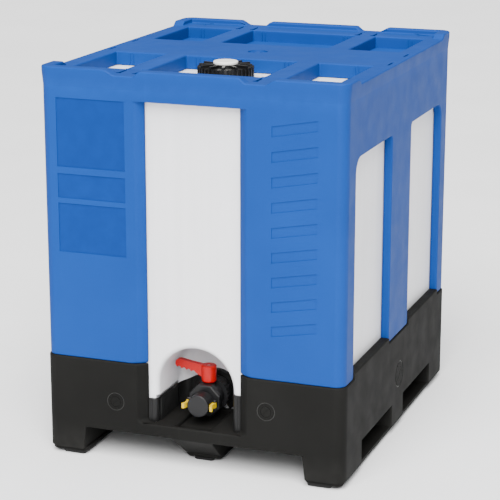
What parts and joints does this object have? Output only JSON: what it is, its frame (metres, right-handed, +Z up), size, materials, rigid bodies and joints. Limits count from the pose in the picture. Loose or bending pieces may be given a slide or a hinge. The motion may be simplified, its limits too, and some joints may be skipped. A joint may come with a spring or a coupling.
{
  "type": "intermediate bulk container",
  "caption": "Pallet-based bulk liquid container: blue outer shell with windows, white inner container, black base with fork channels, screw cap on top and outlet ball valve in a bay.",
  "frame": {"origin": "centre of the footprint, on the floor", "axes": "+Z up, +X to the right along the front face, the outlet valve faces -Y"},
  "size_m": [1, 1.2, 1.26],
  "materials": {
    "rubber_black": "matt moulded rubber",
    "base_black": "fine-grained moulded polyethylene",
    "steel": "zinc plated",
    "dowel_grey": "plain",
    "shell_blue": "satin moulded polyethylene",
    "container_white": "satin natural polyethylene",
    "cap_black": "satin",
    "plug_white": "semi-gloss",
    "valve_black": "satin glass-filled polypropylene",
    "seat_white": "plain fluoropolymer",
    "handle_red": "semi-gloss",
    "lever_yellow": "semi-gloss"
  },
  "bodies": {
    "container": {"foot_pads": "rubber_black", "runner_left": "base_black", "runner_middle": "base_black", "runner_right": "base_black", "runner_screws": "steel", "pallet_posts": "base_black", "base_deck": "base_black", "base_walls": "base_black", "bay_floor": "base_black", "bay_liner": "base_black", "locating_dowels": "dowel_grey", "outer_shell": "shell_blue", "top_frame": "shell_blue", "inner_container": "container_white", "container_top": "container_white", "container_front": "container_white", "alcove_arch": "container_white", "alcove_back": "container_white", "filler_neck": "container_white", "outlet_neck": "container_white", "flange_gasket": "rubber_black", "union_nut": "valve_black", "valve_body": "valve_black", "seat_rear": "seat_white", "seat_front": "seat_white", "stem_seal": "rubber_black", "end_collar": "valve_black", "collar_seal": "rubber_black", "spigot": "valve_black"},
    "filler_cap": {"filler_cap": "cap_black", "cap_gasket": "rubber_black"},
    "vent_plug": {"vent_plug": "plug_white", "plug_gasket": "rubber_black"},
    "valve_handle": {"handle": "handle_red", "handle_screw": "steel", "stem": "valve_black", "ball": "valve_black"},
    "dust_cap": {"dust_cap": "valve_black", "dust_cap_gasket": "rubber_black", "cam_pins": "steel"},
    "cam_lever_left": {"cam_lever_left": "lever_yellow"},
    "cam_lever_right": {"cam_lever_right": "lever_yellow"}
  },
  "joints": [
    {"name": "filler_cap_lift", "type": "slide", "parent": "container", "child": "filler_cap", "axis": [0, 0, 1], "range_m": [0, 0.12]},
    {"name": "vent_plug_lift", "type": "slide", "parent": "filler_cap", "child": "vent_plug", "axis": [0, 0, 1], "range_m": [0, 0.05]},
    {"name": "valve_turn", "type": "hinge", "parent": "container", "child": "valve_handle", "pos_m": [0, -0.446, 0.197], "axis": [0, 0, 1], "range_deg": [0, 90]},
    {"name": "dust_cap_pull", "type": "slide", "parent": "container", "child": "dust_cap", "axis": [0, -1, 0], "range_m": [0, 0.09]},
    {"name": "cam_lever_left_swing", "type": "hinge", "parent": "dust_cap", "child": "cam_lever_left", "pos_m": [-0.043, -0.508, 0.197], "axis": [0, 0, -1], "range_deg": [0, 90]},
    {"name": "cam_lever_right_swing", "type": "hinge", "parent": "dust_cap", "child": "cam_lever_right", "pos_m": [0.043, -0.508, 0.197], "axis": [0, 0, 1], "range_deg": [0, 90]}
  ]
}
